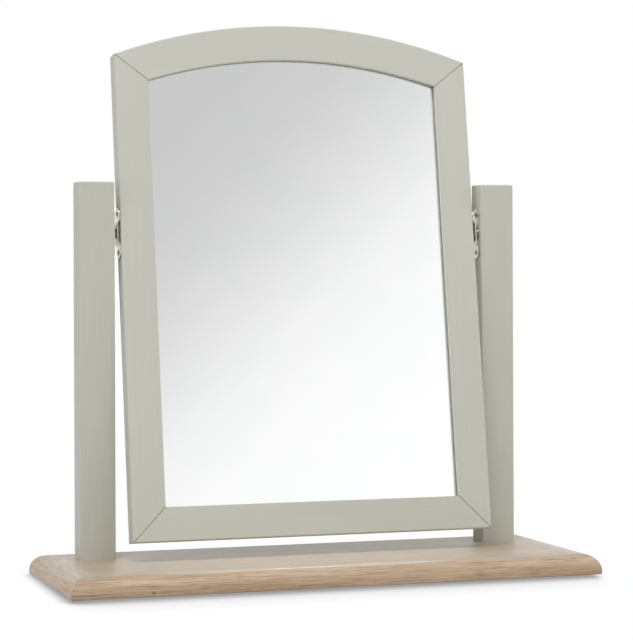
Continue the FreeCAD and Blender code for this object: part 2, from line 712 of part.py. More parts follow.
def add_post_plate(name, side):
    """Hinge leaf on the post's inner face, pressed up into a round dome that carries the rivet."""
    body = add_body(f"{name}_post_plate", AT_PIVOT)
    face = f"{side} * ({POST_FACE} - sizes.plate_thick)"
    sketch = add_sketch(body, "YZ_Plane", f"{side} * {POST_FACE}")
    draw_rectangle(sketch, "0", "0", "sizes.plate_width", "sizes.plate_length")
    add_pad(body, sketch, "sizes.plate_thick", backward=side > 0)
    round_plate_ends(body)
    rim = body.newObject("PartDesign::AdditiveCylinder", f"{name}_rim")
    rim.setExpression("Radius", "sizes.dome_dia / 2 + sizes.dome_rim")
    rim.setExpression("Height", "sizes.plate_thick")
    place(rim, f"{side} * {POST_FACE}", "0", "0", INWARD[side])
    dome = body.newObject("PartDesign::AdditiveCone", f"{name}_dome")
    dome.setExpression("Radius1", "sizes.dome_dia / 2")
    dome.setExpression("Radius2", "sizes.dome_top / 2")
    dome.setExpression("Height", "sizes.dome_height")
    place(dome, face, "0", "0", INWARD[side])
    doc.recompute()
    dome_face = number(f"{face} - {side} * sizes.dome_height")
    finish_edges(body, "Fillet", "sizes.dome_round",
                 lambda a, b: same(a.x, dome_face) and same(b.x, dome_face))
    volume_before = body.Shape.Volume
    hollow = body.newObject("PartDesign::SubtractiveCone", f"{name}_hollow")
    hollow.setExpression("Radius1", "sizes.dome_dia / 2 - sizes.plate_thick / 2")
    hollow.setExpression("Radius2", "sizes.dome_top / 2 - sizes.plate_thick / 2")
    hollow.setExpression("Height", "sizes.dome_height")
    place(hollow, f"{side} * {POST_FACE}", "0", "0", INWARD[side])
    doc.recompute()
    check_cut(body, volume_before)
    drill(body, f"{side} * {POST_FACE}", "0", "0", INWARD[side], "sizes.rivet_dia",
          "2 * (sizes.plate_thick + sizes.dome_height)")
    for way in (-1, 1):
        countersink(body, face, "0", f"{way} * {TAB_MIDDLE}", OUTWARD[side],
                    "sizes.plate_screw_head", "sizes.plate_screw_dia", "sizes.plate_thick")
    add_plate_screws(f"{name}_post_plate_screws", AT_PIVOT, face, OUTWARD[side])


def add_pivot(name, side):
    """Rivet through dome and bridge, the friction washer between them and the dished spring washer."""
    bridge_out = f"({HALF} + sizes.bridge_height)"
    bridge_in = f"({bridge_out} - sizes.plate_thick)"
    spring_out = f"({bridge_in} - sizes.running_gap)"
    spring_in = f"({spring_out} - sizes.spring_dish - sizes.spring_thick)"
    head_end = f"({spring_in} - sizes.rivet_head_thick)"
    tail_seat = f"({POST_FACE} - sizes.dome_height)"
    tail_end = f"({tail_seat} + sizes.rivet_head_thick)"

    rivet = add_body(f"{name}_pivot_rivet", AT_PIVOT)
    shank, head = "sizes.rivet_dia / 2", "sizes.rivet_head / 2"
    outline = [
        (head_end, "0"),
        (head_end, f"{head} * {RIVET_TOP_SHARE}"),
        (spring_in, head),
        (spring_in, shank),
        (tail_seat, shank),
        (tail_seat, f"{head} * {RIVET_TAIL_SHARE}"),
        (tail_end, f"{head} * {RIVET_TOP_SHARE}"),
        (tail_end, "0"),
    ]
    add_revolution(rivet, [(f"{side} * {x}", radius) for x, radius in outline], "H_Axis")

    washer = add_body(f"{name}_friction_washer", AT_PIVOT)
    hole = "sizes.rivet_dia / 2 + sizes.pin_fit"
    washer_in = f"({bridge_out} + sizes.running_gap)"
    washer_out = f"({washer_in} + sizes.washer_thick)"
    rim = "sizes.washer_dia / 2"
    outline = [(washer_in, hole), (washer_out, hole), (washer_out, rim), (washer_in, rim)]
    add_revolution(washer, [(f"{side} * {x}", radius) for x, radius in outline], "H_Axis")

    spring = add_body(f"{name}_spring_washer", AT_PIVOT)
    edge = "sizes.spring_dia / 2"
    outline = [(spring_in, hole), (f"({spring_in} + sizes.spring_dish)", edge),
               (spring_out, edge), (f"({spring_out} - sizes.spring_dish)", hole)]
    add_revolution(spring, [(f"{side} * {x}", radius) for x, radius in outline], "H_Axis")


def write_parts():
    """Check every object and write one file for each node."""
    doc.recompute()
    for item in doc.Objects:
        if "Invalid" in item.State or "Error" in item.State:
            raise RuntimeError(f"{item.Label} failed: {item.State}")
    for node in nodes:
        if node.Shape.isNull() or not node.Shape.isValid():
            raise RuntimeError(f"{node.Label} has no sound shape")
    os.makedirs("parts", exist_ok=True)
    for node in nodes:
        node.Shape.exportStep(f"parts/{node.Label}.step")


add_base_board()
for side_name, side_sign in SIDES.items():
    add_post(side_name, side_sign)
add_post_fixings()
add_foot_pads()
add_frame()
add_glazing()
for side_name, side_sign in SIDES.items():
    add_frame_plate(side_name, side_sign)
    add_post_plate(side_name, side_sign)
    add_pivot(side_name, side_sign)
write_parts()
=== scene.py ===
import json
import math

import bmesh
import bpy
from mathutils import Matrix, Vector


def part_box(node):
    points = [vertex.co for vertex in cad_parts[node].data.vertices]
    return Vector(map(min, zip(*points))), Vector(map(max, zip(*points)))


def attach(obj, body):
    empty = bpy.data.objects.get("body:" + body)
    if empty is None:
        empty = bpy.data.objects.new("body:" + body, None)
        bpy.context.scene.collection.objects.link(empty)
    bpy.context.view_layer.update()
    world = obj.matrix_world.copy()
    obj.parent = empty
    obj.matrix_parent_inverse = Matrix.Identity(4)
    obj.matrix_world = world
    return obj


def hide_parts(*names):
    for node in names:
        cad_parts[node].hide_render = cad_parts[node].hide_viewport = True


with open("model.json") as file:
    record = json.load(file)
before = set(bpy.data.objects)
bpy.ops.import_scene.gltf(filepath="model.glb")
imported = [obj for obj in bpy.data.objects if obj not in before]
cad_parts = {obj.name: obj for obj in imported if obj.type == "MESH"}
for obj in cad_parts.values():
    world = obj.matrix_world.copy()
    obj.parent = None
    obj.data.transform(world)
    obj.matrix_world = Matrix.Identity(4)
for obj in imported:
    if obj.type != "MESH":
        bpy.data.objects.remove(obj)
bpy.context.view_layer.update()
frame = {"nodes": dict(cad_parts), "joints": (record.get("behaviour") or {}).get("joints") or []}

nodes = frame["nodes"]

# Plinth: a veneered oak panel lipped all round with solid oak, moulded to a quarter round and mitred
# at the corners, so the grain turns with each edge. The flat of the deck, reaching further down on the
# end lippings, is painted paler: a painted sheen of the white surround seen at a grazing angle. The
# semi-matt lacquer is thinner on the round. A pin knot sits in the front edge, joints are hair lines.


class Wire:
    """A node socket that takes part in sums: operators on it add Math nodes to its tree."""

    def __init__(self, tree, socket):
        self.tree = tree
        self.socket = socket

    def node(self, kind, settings=(), sockets=(), out=0):
        """A new node: first its settings, then its sockets' values or links, by name or number."""
        made = self.tree.nodes.new(kind)
        for name, value in dict(settings).items():
            if name == "stops":
                stops = made.color_ramp.elements
                stops.remove(stops[1])
                stops[0].position, stops[0].color = value[0]
                for place, colour in value[1:]:
                    stops.new(place).color = colour
            else:
                setattr(made, name, value)
        for name, value in dict(sockets).items():
            if isinstance(value, Wire):
                self.tree.links.new(value.socket, made.inputs[name])
            else:
                made.inputs[name].default_value = value
        return Wire(self.tree, made.outputs[out])

    def to(self, node, name):
        """Lead this socket into an input of a node."""
        self.tree.links.new(self.socket, node.inputs[name])

    def _maths(self, operation, first, second=0.0):
        return self.node("ShaderNodeMath", {"operation": operation}, {0: first, 1: second})

    def __add__(self, other):
        return self._maths("ADD", self, other)

    def __sub__(self, other):
        return self._maths("SUBTRACT", self, other)

    def __rsub__(self, other):
        return self._maths("SUBTRACT", other, self)

    def __mul__(self, other):
        return self._maths("MULTIPLY", self, other)

    def __truediv__(self, other):
        return self._maths("DIVIDE", self, other)

    def __lt__(self, other):
        return self._maths("LESS_THAN", self, other)

    def __gt__(self, other):
        return self._maths("GREATER_THAN", self, other)

    def __abs__(self):
        return self._maths("ABSOLUTE", self)

    __radd__ = __add__
    __rmul__ = __mul__

    def least(self, other):
        return self._maths("MINIMUM", self, other)

    def most(self, other):
        return self._maths("MAXIMUM", self, other)

    def rising(self, low, high):
        """0 below low and 1 above high, with a smooth step between."""
        return self.node("ShaderNodeMapRange", {"interpolation_type": "SMOOTHSTEP"},
                         {"Value": self, "From Min": low, "From Max": high})

    def parts(self):
        """The X, Y and Z values of a vector."""
        split = self.node("ShaderNodeSeparateXYZ", {}, {"Vector": self}).socket.node
        return [Wire(self.tree, socket) for socket in split.outputs]

    def turned(self, **mapping):
        """A vector through a Mapping node, such as turned(Rotation=..., Scale=...)."""
        return self.node("ShaderNodeMapping", {}, {"Vector": self, **mapping})

    def noise(self, scale, detail=2.0, roughness=0.5, sway=0.0):
        """Noise from 0 to 1, in cells per metre on all axes or on each, swayed by so many cells."""
        place = self
        if isinstance(scale, tuple):
            place, scale = self.turned(Scale=scale), 1.0
        return self.node("ShaderNodeTexNoise", {}, {"Vector": place, "Scale": scale, "Detail": detail,
                                                    "Roughness": roughness, "Distortion": sway})

    def blend(self, first, second):
        """The first colour where this is 0, the second where it is 1."""
        return self.node("ShaderNodeMix", {"data_type": "RGBA"}, {0: self, 6: first, 7: second}, 2)

    def relief(self, depth, strength=1.0):
        """A normal from this height, which stands for so many metres."""
        return self.node("ShaderNodeBump", {},
                         {"Height": self, "Distance": depth, "Strength": strength})


def tone(red, green, blue):
    """A colour as it looks on screen, 0 to 255, in the linear light that shaders use."""
    def linear(value):
        share = value / 255
        return share / 12.92 if share <= 0.04045 else ((share + 0.055) / 1.055) ** 2.4
    return (linear(red), linear(green), linear(blue), 1.0)


def new_finish(name, **constants):
    """A new material with these constants, with its shader and the piece's own coordinates."""
    finish = bpy.data.materials.new(name)
    finish.use_nodes = True
    tree = finish.node_tree
    shader = tree.nodes["Principled BSDF"]
    for socket, value in constants.items():
        shader.inputs[socket.replace("_", " ")].default_value = value
    place = tree.nodes.new("ShaderNodeTexCoord").outputs["Object"]
    return finish, shader, Wire(tree, place)


def dress(finish, *names):
    """Give CAD nodes a finish."""
    for name in names:
        nodes[name].material_slots[0].material = finish


plinth_low, plinth_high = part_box("base_board")
LIPPING = 0.031                             # width of the moulded oak round the panel
ROUND_TOP = 0.02                            # above this height lie only the deck and the crest of the round
HAIR_LINE = (0.0001, 0.0005)                # a joint is dark up to the first, gone at the second
SHEEN_FULL, SHEEN_GONE = 0.0004, 0.0035       # depths below the deck's top
DEEPER_AT_ENDS = 0.0060                     # how much further down the painted sheen reaches on the end lippings
COAT_FULL, COAT_THIN = 0.0001, 0.0010       # depths below the deck's top
KNOT = Vector((-0.2125, plinth_low.y, 0.0063))
KNOT_HEART, KNOT_RIM, KNOT_RAGGED = 0.0008, 0.0026, 0.0010

limed_oak, shader, place = new_finish("limed oak", Coat_Roughness=0.45, IOR=1.45)
across, deep, height = place.parts()
from_end = plinth_high.x - abs(across)
from_side = plinth_high.y - abs(deep)
end_lipping = (from_end < from_side) * (from_end < LIPPING)
panel = (LIPPING < from_end) * (LIPPING < from_side)
# Noise is stretched along X, the way of the grain. It is shifted for the panel and turned for the ends.
turned_grain = place.turned(Rotation=(0, 0, math.radians(90)), Location=(0.7, 0.4, 0.2))
panel_grain = place.turned(Location=(0.0, 0.3, 0.9))
grain = end_lipping.blend(panel.blend(place, panel_grain), turned_grain)
figure = grain.noise((2.6, 42, 42), 3.0, 0.5, 0.5)
streak = grain.noise((15, 640, 640), 4.0, 0.65, 0.35)
broken = grain.noise((34, 420, 420), 2.0)
pore = grain.noise((48, 1300, 1300), 1.0).rising(0.58, 0.70)
dark_line = streak.rising(0.52, 0.68) * broken.rising(0.40, 0.62)
mixed = 0.3 * figure + 0.7 * streak
body = mixed.node("ShaderNodeValToRGB", {"stops": [
    (0.32, tone(200, 176, 148)), (0.46, tone(187, 161, 132)),
    (0.56, tone(172, 145, 115)), (0.70, tone(153, 125, 95))]}, {"Fac": mixed})
# Painted sheen: the flat of the deck, and further down the end lippings, is blended toward pale tones that
# stand in for the white surround reflected at a grazing angle, not a lime in the wood.
deck = height.rising(plinth_high.z - SHEEN_GONE - DEEPER_AT_ENDS * end_lipping, plinth_high.z - SHEEN_FULL)
sheen_patches = 0.5 * grain.noise((5, 150, 150), 3.0, 0.6).rising(0.36, 0.64) + 0.24 * (1 - end_lipping)
sheen_tone = sheen_patches.blend(tone(187, 180, 169), tone(149, 140, 127))
body = (deck * (0.48 + 0.18 * end_lipping)).blend(body, sheen_tone)
knot_place = place.turned(Location=-KNOT).turned(Scale=(0.6, 1.0, 1.0))
knot_reach = knot_place.node("ShaderNodeVectorMath", {"operation": "LENGTH"}, {0: knot_place}, 1)
knot = 1 - (knot_reach + KNOT_RAGGED * streak).rising(KNOT_HEART, KNOT_RIM)
joint = abs(from_end.least(from_side) - LIPPING)
edge_line = (1 - joint.rising(*HAIR_LINE)) * (ROUND_TOP < height)
mitre_line = (1 - abs(from_end - from_side).rising(*HAIR_LINE)) * (from_end < LIPPING)
stain = (0.45 * dark_line).most(0.45 * pore).most(0.85 * knot)
stain = stain.most(0.25 * edge_line).most(0.45 * mitre_line)
stain.blend(body, tone(104, 78, 52)).to(shader, "Base Color")
(0.42 + 0.16 * streak + 0.12 * pore).to(shader, "Roughness")
flat = height.rising(plinth_high.z - COAT_THIN, plinth_high.z - COAT_FULL)
(0.48 + 0.48 * flat.most(0.8 * end_lipping) - 0.30 * pore).to(shader, "Coat Weight")
open_grain = 1 - 0.6 * pore - 0.25 * dark_line - mitre_line.most(edge_line)
open_grain.relief(0.00012, 0.6).to(shader, "Normal")
dress(limed_oak, "base_board")

# Foot pads: four discs punched from pressed brown felt, stuck under the plinth near its corners
# to save the table top.

felt, shader, place = new_finish("pressed felt", Roughness=0.95)
fibre = place.noise(2600, 5.0, 0.7)
matted = place.noise(420, 3.0)
(0.6 * fibre + 0.4 * matted).rising(0.3, 0.7).blend(tone(74, 66, 56), tone(121, 110, 96)).to(
    shader, "Base Color")
fibre.relief(0.0006, 0.9).to(shader, "Normal")
dress(felt, "foot_pad_front_left", "foot_pad_front_right", "foot_pad_back_left", "foot_pad_back_right")

# Dowels: bought beech dowels, compressed and fluted, glued between plinth and posts and across
# the mitres of the frame. They are hidden once the mirror is put together.

dowel_beech, shader, place = new_finish("bare beech", Roughness=0.6)
fleck = place.noise((900, 900, 160), 2.0).rising(0.56, 0.66)
ring = place.noise((500, 500, 18), 3.0)
(0.7 * fleck + 0.3 * ring).blend(tone(218, 186, 145), tone(176, 138, 97)).to(shader, "Base Color")
ring.relief(0.0001, 0.5).to(shader, "Normal")
dress(dowel_beech, "post_dowels", "mitre_dowels")

# Posts: planed square hardwood with eased arrises, sprayed in a sage grey satin paint that lets
# a trace of the upright grain through.


def sage_paint(name, seams=None, **grain_turn):
    """Satin paint over wood whose grain runs along X once the coordinates are turned.

    seams gives the distance from the nearest joint, where the paint has cracked open.
    """
    paint, shader, place = new_finish(name, IOR=1.45)
    grain = place.turned(**grain_turn)
    drift = grain.noise((3.0, 9.0, 9.0), 2.0)
    trace = grain.noise((9.0, 420, 420), 3.0, 0.6)
    peel = place.noise(850, 1.0)
    cover = (0.65 * drift + 0.35 * trace).rising(0.3, 0.7)
    coat = cover.blend(tone(200, 200, 189), tone(206, 206, 195))
    height = 0.6 * trace + 0.4 * peel
    if seams:
        crack = 1 - seams(place).rising(*HAIR_LINE)
        coat = crack.blend(coat, tone(104, 102, 92))
        height = height - crack
    coat.to(shader, "Base Color")
    (0.40 + 0.10 * drift + 0.06 * peel).to(shader, "Roughness")
    height.relief(0.00008, 0.5).to(shader, "Normal")
    return paint


UPRIGHT = (0, math.radians(90), 0)
dress(sage_paint("sage paint on posts", Rotation=UPRIGHT), "left_post", "right_post")

# Post screws: one long zinc-plated pan head in a counterbore under each post, driven up into its
# end grain. All the screws of the mirror are turned from one pattern: a crowned head with a cross
# recess, a countersunk or flat seat, and a rolled thread that runs out to a point.

zinc, shader, place = new_finish("zinc plate", Metallic=1.0)
cloud = place.noise(240, 3.0)
rub = place.noise(3200, 2.0)
cloud.rising(0.3, 0.7).blend(tone(200, 200, 192), tone(181, 182, 177)).to(shader, "Base Color")
(0.24 + 0.14 * cloud + 0.08 * rub).to(shader, "Roughness")
rub.relief(0.00003, 0.5).to(shader, "Normal")

SCREW_SIZES = ("Head", "Crown", "Seat", "Shank", "Length", "Pitch", "Recess")
RINGS, SPOKES = 62, 49                              # points along and around the blank, bent to a screw
CROWN_END, SEAT_END, SHANK_END = 0.22, 0.27, 0.93   # shares of the outline, from crown to point
THREAD_DEPTH = 0.08                                 # share of the shank's width
THREAD_STARTS, THREAD_FULL = 0.30, 0.36             # shares of the shank's length
ARM_SIDE, ARM_END = (0.20, 0.34), (0.85, 1.1)       # where the recess slopes, in shares of its size
RECESS_DEPTH, RECESS_END = 0.75, 0.215              # a share of its size, and of the outline
WELD = 0.000004                                     # points nearer than this are one
SHARP = math.radians(50)                            # edges that bend less are smooth
screw_pattern = bpy.data.node_groups.new("turned screws", "GeometryNodeTree")
screw_pattern.interface.new_socket("Places", in_out="INPUT", socket_type="NodeSocketGeometry")
for size in SCREW_SIZES:
    screw_pattern.interface.new_socket(size, in_out="INPUT", socket_type="NodeSocketFloat")
screw_pattern.interface.new_socket("Finish", in_out="INPUT", socket_type="NodeSocketMaterial")
screw_pattern.interface.new_socket("Screws", in_out="OUTPUT", socket_type="NodeSocketGeometry")
given = screw_pattern.nodes.new("NodeGroupInput").outputs
places, head, crown, seat, shank, length, pitch, recess, finish = (
    Wire(screw_pattern, socket) for socket in given if socket.name)

blank = places.node("GeometryNodeMeshGrid", {}, {"Vertices X": RINGS, "Vertices Y": SPOKES})
along, around, _ = Wire(screw_pattern, blank.socket.node.outputs["UV Map"]).parts()


def stretch(start, end):
    """How far along one stretch of the screw's outline, 0 to 1."""
    return along.node("ShaderNodeMapRange", {}, {"Value": along, "From Min": start, "From Max": end})


over_crown, under_head = stretch(0.0, CROWN_END), stretch(CROWN_END, SEAT_END)
down_shank, to_point = stretch(SEAT_END, SHANK_END), stretch(SHANK_END, 1.0)
reach = (crown * (over_crown * over_crown - 1) + seat * under_head
         + (length - seat - shank) * down_shank + shank * to_point)
turn = around * math.tau
wave = (reach / pitch) * math.tau - turn
ridge = wave.node("ShaderNodeMath", {"operation": "COSINE"}, {0: wave})
groove = shank * THREAD_DEPTH * (1 - ridge) * down_shank.rising(THREAD_STARTS, THREAD_FULL)
radius = (head * 0.5 * over_crown - (head - shank) * 0.5 * under_head
          - (shank * 0.5 - groove) * to_point - groove)
level = radius * turn.node("ShaderNodeMath", {"operation": "COSINE"}, {0: turn})
plumb = radius * turn.node("ShaderNodeMath", {"operation": "SINE"}, {0: turn})


def recess_arm(crosswise, lengthwise):
    """1 inside one arm of the cross recess."""
    return ((1 - abs(crosswise).rising(recess * ARM_SIDE[0], recess * ARM_SIDE[1]))
            * (1 - abs(lengthwise).rising(recess * ARM_END[0], recess * ARM_END[1])))


cross = recess_arm(level, plumb).most(recess_arm(plumb, level)) * (1 - under_head)
sunk = reach + recess * RECESS_DEPTH * cross * (along < RECESS_END)
form = along.node("ShaderNodeCombineXYZ", {}, {"X": level, "Y": plumb, "Z": sunk})
screw = blank.node("GeometryNodeSetPosition", {}, {"Geometry": blank, "Position": form})
screw = screw.node("GeometryNodeMergeByDistance", {}, {"Geometry": screw, "Distance": WELD})
bend = screw.node("GeometryNodeInputMeshEdgeAngle")
screw = screw.node("GeometryNodeSetShadeSmooth", {"domain": "EDGE"},
                   {"Geometry": screw, "Shade Smooth": bend < SHARP})
drive = places.node("GeometryNodeInputNamedAttribute", {"data_type": "FLOAT_VECTOR"}, {"Name": "drive"})
aim = drive.node("FunctionNodeAlignRotationToVector", {"axis": "Z"}, {"Vector": drive})
screws = places.node("GeometryNodeInstanceOnPoints", {},
                     {"Points": places, "Instance": screw, "Rotation": aim})
stop = places.node("FunctionNodeRandomValue", {"data_type": "FLOAT"},
                   {2: 0.0, 3: math.tau, "Seed": 7}, 1)
twist = stop.node("ShaderNodeCombineXYZ", {}, {"Z": stop})
twist = twist.node("FunctionNodeEulerToRotation", {}, {"Euler": twist})
screws = screws.node("GeometryNodeRotateInstances", {}, {"Instances": screws, "Rotation": twist})
screws = screws.node("GeometryNodeRealizeInstances", {}, {"Geometry": screws})
screws = screws.node("GeometryNodeSetMaterial", {}, {"Geometry": screws, "Material": finish})
screws.to(screw_pattern.nodes.new("NodeGroupOutput"), "Screws")


def drive_screws(name, body, drives, stands_for, **sizes):
    """Screws of one size on one body, each given as its head's middle and the way it is driven."""
    mesh = bpy.data.meshes.new(name)
    mesh.from_pydata([middle for middle, _ in drives], [], [])
    mesh.attributes.new("drive", "FLOAT_VECTOR", "POINT").data.foreach_set(
        "vector", [value for _, way in drives for value in way])
    piece = bpy.data.objects.new(name, mesh)
    bpy.context.scene.collection.objects.link(piece)
    modifier = piece.modifiers.new("screws", "NODES")
    modifier.node_group = screw_pattern
    for socket in screw_pattern.interface.items_tree:
        if socket.name in sizes:
            modifier[socket.identifier] = sizes[socket.name]
        elif socket.name == "Finish":
            modifier[socket.identifier] = zinc
    shown = piece.evaluated_get(bpy.context.evaluated_depsgraph_get())
    solid = bpy.data.meshes.new_from_object(shown)
    piece.modifiers.clear()
    piece.data = solid
    form = bmesh.new()
    form.from_mesh(solid)
    bmesh.ops.recalc_face_normals(form, faces=form.faces)
    form.to_mesh(solid)
    form.free()
    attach(piece, body)
    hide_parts(*stands_for)


POST_SCREW = dict(Head=0.010, Crown=0.0030, Seat=0.0001, Shank=0.005, Length=0.060, Pitch=0.0022,
                  Recess=0.0026)
_, screw_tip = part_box("post_screws")
under_posts = [(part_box(post)[0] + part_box(post)[1]) / 2 for post in ("left_post", "right_post")]
seat_height = screw_tip.z - POST_SCREW["Length"]
drive_screws("post_fixing_screws", "stand",
             [((post.x, post.y, seat_height), (0, 0, 1)) for post in under_posts],
             ["post_screws"], **POST_SCREW)

# Mirror frame: four painted members, two stiles, a straight bottom rail and an arched top rail,
# mitred and dowelled, with a rebate behind. It leans back on its hinges as it stands at rest.

LEAN = math.radians(8.6)
PIVOT = Vector(frame["joints"][0]["pos_m"])
SIGHT_HALF, SIGHT_BOTTOM = 0.172, -0.304    # the opening, from the pivot
ARCH_MIDDLE, SIGHT_RADIUS = -0.360, 0.560
FRAME_HALF, FRAME_RADIUS = 0.210, 0.600     # the outside of the frame


def in_mirror(point):
    """A point or direction given upright from the pivot, leant back with the mirror."""
    return Matrix.Rotation(-LEAN, 3, "X") @ Vector(point)


def arch_height(radius, x):
    """Height of an arc of the arch above the pivot."""
    return ARCH_MIDDLE + math.sqrt(radius ** 2 - x ** 2)


def from_mitres(place):
    """How far a point of the frame is from the nearest of its four mitres."""
    upright = place.turned(Rotation=(LEAN, 0, 0), Location=Matrix.Rotation(LEAN, 3, "X") @ -PIVOT)
    across, _, height = upright.parts()
    beyond = abs(across) - SIGHT_HALF
    shoulder = arch_height(SIGHT_RADIUS, SIGHT_HALF)
    rise = arch_height(FRAME_RADIUS, FRAME_HALF) - shoulder
    top = Vector((FRAME_HALF - SIGHT_HALF, rise)).normalized()
    from_top = abs(top.y * beyond - top.x * (height - shoulder))
    return from_top.least(math.sqrt(0.5) * abs(beyond + (height - SIGHT_BOTTOM)))


stile_paint = sage_paint("sage paint on stiles", from_mitres, Rotation=(LEAN, math.radians(90), 0))
rail_paint = sage_paint("sage paint on rails", from_mitres, Rotation=(LEAN, 0, 0),
                        Location=(0.4, 0.1, 0.3))
dress(stile_paint, "left_stile", "right_stile")
dress(rail_paint, "top_rail", "bottom_rail")

# Glass: 4 mm float glass cut to the arch and silvered on the back, held forward against the
# frame's lip by small blocks of black closed-cell foam behind it. The eye sees the silver through
# the glass, a little way behind its front, so the reflecting face stands at that depth.

GLASS_THICK, GLASS_INDEX = 0.004, 1.52
silvered, shader, place = new_finish("silvered glass", Metallic=1.0)
haze = place.noise(9.0, 4.0, 0.6)
dust = place.noise(1400, 1.0).rising(0.70, 0.80)
haze.rising(0.3, 0.7).blend(tone(252, 253, 252), tone(250, 252, 251)).to(shader, "Base Color")
(0.012 + 0.010 * haze + 0.02 * dust).to(shader, "Roughness")

backward = in_mirror((0, 1, 0))
plate = bmesh.new()
plate.from_mesh(nodes["mirror_glass"].data)
bmesh.ops.remove_doubles(plate, verts=plate.verts, dist=0.000001)
front = min(backward.dot(corner.co) for corner in plate.verts)
for corner in plate.verts:
    if backward.dot(corner.co) < front + GLASS_THICK / 2:
        corner.co += backward * (GLASS_THICK / GLASS_INDEX)
for facet in plate.faces:
    facet.smooth = False
silver_mesh = bpy.data.meshes.new("silvered_face")
plate.to_mesh(silver_mesh)
plate.free()
silver_mesh.materials.append(silvered)
silvered_face = bpy.data.objects.new("silvered_face", silver_mesh)
bpy.context.scene.collection.objects.link(silvered_face)
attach(silvered_face, "mirror")
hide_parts("mirror_glass")

foam, shader, place = new_finish("closed-cell foam", Roughness=0.9)
cell = place.node("ShaderNodeTexVoronoi", {}, {"Vector": place, "Scale": 1700})
cell.rising(0.1, 0.6).blend(tone(36, 36, 38), tone(62, 62, 64)).to(shader, "Base Color")
cell.relief(0.0003, 0.8).to(shader, "Normal")
dress(foam, "glass_spacer_pads")

# Back panel: thin brown hardboard, smooth side out, let into the frame's back and held by ten
# small countersunk screws set in from its edge.

hardboard, shader, place = new_finish("brown hardboard")
felted = place.noise(1900, 4.0, 0.7)
patch = place.noise(24, 3.0)
speck = place.noise((1500, 1500, 500), 1.0).rising(0.64, 0.72)
body = (0.5 * felted + 0.5 * patch).rising(0.32, 0.68).blend(tone(101, 73, 50), tone(131, 98, 69))
(0.6 * speck).blend(body, tone(70, 48, 32)).to(shader, "Base Color")
(0.50 + 0.20 * felted).to(shader, "Roughness")
felted.relief(0.00012, 0.5).to(shader, "Normal")
dress(hardboard, "back_panel")

SCREW_MARGIN, PANEL_BACK = 0.010, 0.0100    # screws beyond the opening; panel's back behind the pivot
reach_half = SIGHT_HALF + SCREW_MARGIN
reach_low = SIGHT_BOTTOM - SCREW_MARGIN
reach_radius = SIGHT_RADIUS + SCREW_MARGIN
side_height = arch_height(reach_radius, reach_half) - reach_low
panel_spots = [(side * reach_half, reach_low + share * side_height)
               for side in (-1, 1) for share in (0.1, 0.5, 0.9)]
panel_spots += [(side * reach_half / 2, reach_low) for side in (-1, 1)]
panel_spots += [(side * reach_half / 2, arch_height(reach_radius, reach_half / 2)) for side in (-1, 1)]
drive_screws("back_panel_fixings", "mirror",
             [(PIVOT + in_mirror((x, PANEL_BACK, z)), in_mirror((0, -1, 0))) for x, z in panel_spots],
             ["back_panel_screws"], Head=0.006, Crown=0.0002, Seat=0.0015, Shank=0.003, Length=0.014,
             Pitch=0.0013, Recess=0.0017)

# Swing hinges: a domed leaf on each post and a bridged leaf on each side of the frame, pressed
# from steel and nickel plated, turning on a rivet with a nylon washer between and a dished spring
# washer that keeps them tight.

nickel, shader, place = new_finish("bright nickel", Metallic=1.0)
drawn = place.noise((600, 3000, 120), 2.0)
bloom = place.noise(160, 3.0)
bloom.rising(0.35, 0.7).blend(tone(212, 211, 199), tone(182, 181, 168)).to(shader, "Base Color")
(0.15 + 0.08 * drawn + 0.06 * bloom).to(shader, "Roughness")
(0.6 * drawn + 0.4 * bloom).relief(0.00004, 0.5).to(shader, "Normal")
dress(nickel, "left_post_plate", "right_post_plate", "left_frame_plate", "right_frame_plate",
      "left_pivot_rivet", "right_pivot_rivet")
dress(zinc, "left_spring_washer", "right_spring_washer")

nylon, shader, place = new_finish("natural nylon", Roughness=0.45)
milk = place.noise(700, 3.0)
milk.rising(0.3, 0.7).blend(tone(232, 229, 218), tone(220, 216, 202)).to(shader, "Base Color")
milk.relief(0.00005, 0.4).to(shader, "Normal")
dress(nylon, "left_friction_washer", "right_friction_washer")

LEAF = 0.0014                       # metal of a leaf
LEAF_SCREW = dict(Head=0.007, Crown=0.0009, Seat=LEAF, Shank=0.0038, Length=0.018, Pitch=0.0015,
                  Recess=0.0021)
pair_low, pair_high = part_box("right_post_plate_screws")
screw_step = (pair_high.z - pair_low.z - LEAF_SCREW["Head"]) / 2
post_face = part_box("right_post")[0].x
frame_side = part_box("right_stile")[1].x
drive_screws("post_leaf_screws", "stand",
             [((side * (post_face - LEAF), PIVOT.y, PIVOT.z + step), (side, 0, 0))
              for side in (-1, 1) for step in (-screw_step, screw_step)],
             ["left_post_plate_screws", "right_post_plate_screws"], **LEAF_SCREW)
drive_screws("frame_leaf_screws", "mirror",
             [(PIVOT + in_mirror((side * (frame_side + LEAF), 0, step)), (-side, 0, 0))
              for side in (-1, 1) for step in (-screw_step, screw_step)],
             ["left_frame_plate_screws", "right_frame_plate_screws"], **LEAF_SCREW)

# Studio: a white sweep that glows white for camera, gloss and glass rays, with a painted shadow close
# along the plinth, a white surround whose fall to grey the mirror shows, and soft lamps: two large ones
# high in front, a narrow one at each side and a low one behind. The camera stands where edges of the
# photo put it.


def seen_rays(tree):
    """1 for rays by which camera, gloss or glass sees, and 1 for gloss alone."""
    path = tree.nodes.new("ShaderNodeLightPath").outputs
    camera_sees, gloss_sees, glass_sees = (
        Wire(tree, path[f"Is {kind} Ray"]) for kind in ("Camera", "Glossy", "Transmission"))
    return camera_sees.most(gloss_sees).most(glass_sees), gloss_sees


